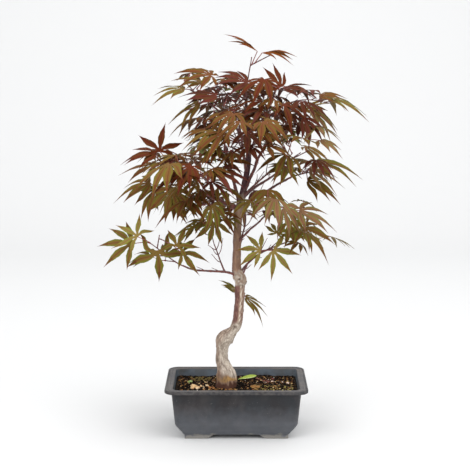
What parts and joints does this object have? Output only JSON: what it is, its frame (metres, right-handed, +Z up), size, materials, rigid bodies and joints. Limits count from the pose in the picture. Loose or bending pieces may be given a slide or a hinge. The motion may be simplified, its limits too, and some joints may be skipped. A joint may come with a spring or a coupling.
{
  "type": "potted japanese maple bonsai",
  "caption": "Young bonsai tree with a bent trunk, thin rising boughs and masses of palmate leaves, planted in a rectangular plastic pot filled with soil.",
  "frame": {"origin": "on the floor under the middle of the pot", "axes": "+X to the right along the pot's long side, +Y to the back, +Z up along the tree"},
  "size_m": [0.3441, 0.2817, 0.4994],
  "materials": {
    "pot_plastic": "moulded black polypropylene, dusty low down",
    "soil": "dark potting soil with bark chips and grit",
    "old_bark": "fine cracked grey-beige bark, red-brown higher up",
    "young_bark": "smooth red-brown bark",
    "foliage": "thin leaves, red-brown to olive green"
  },
  "bodies": {
    "root": {"pot": "pot_plastic", "soil": "soil", "trunk": "old_bark", "bough_sprig": "young_bark", "bough_lower_left": "young_bark", "bough_left_riser": "young_bark", "bough_low_right_inner": "young_bark", "bough_low_right": "young_bark", "bough_low_back": "young_bark", "bough_mid_right": "young_bark", "bough_left": "young_bark", "bough_left_low": "young_bark", "bough_left_front": "young_bark", "bough_left_inner": "young_bark", "bough_left_back": "young_bark", "bough_right": "young_bark", "bough_right_inner": "young_bark", "bough_right_back": "young_bark", "bough_right_riser": "young_bark", "bough_inner_left": "young_bark", "bough_back": "young_bark", "bough_front": "young_bark", "bough_crown": "young_bark", "bough_upper_left": "young_bark", "bough_upper_right": "young_bark", "bough_far_right": "young_bark", "foliage_top": "foliage", "foliage_upper_left": "foliage", "foliage_upper_right": "foliage", "foliage_far_right": "foliage", "foliage_right_shoulder": "foliage", "foliage_front": "foliage", "foliage_crown": "foliage", "foliage_upper_back": "foliage", "foliage_inner_top": "foliage", "foliage_left": "foliage", "foliage_left_front": "foliage", "foliage_left_back": "foliage", "foliage_left_low": "foliage", "foliage_left_inner": "foliage", "foliage_right": "foliage", "foliage_right_inner": "foliage", "foliage_right_front": "foliage", "foliage_right_back": "foliage", "foliage_right_low": "foliage", "foliage_low_front": "foliage", "foliage_low_back": "foliage", "foliage_inner_low": "foliage", "foliage_lower_left": "foliage", "foliage_sprig": "foliage"}
  },
  "joints": []
}
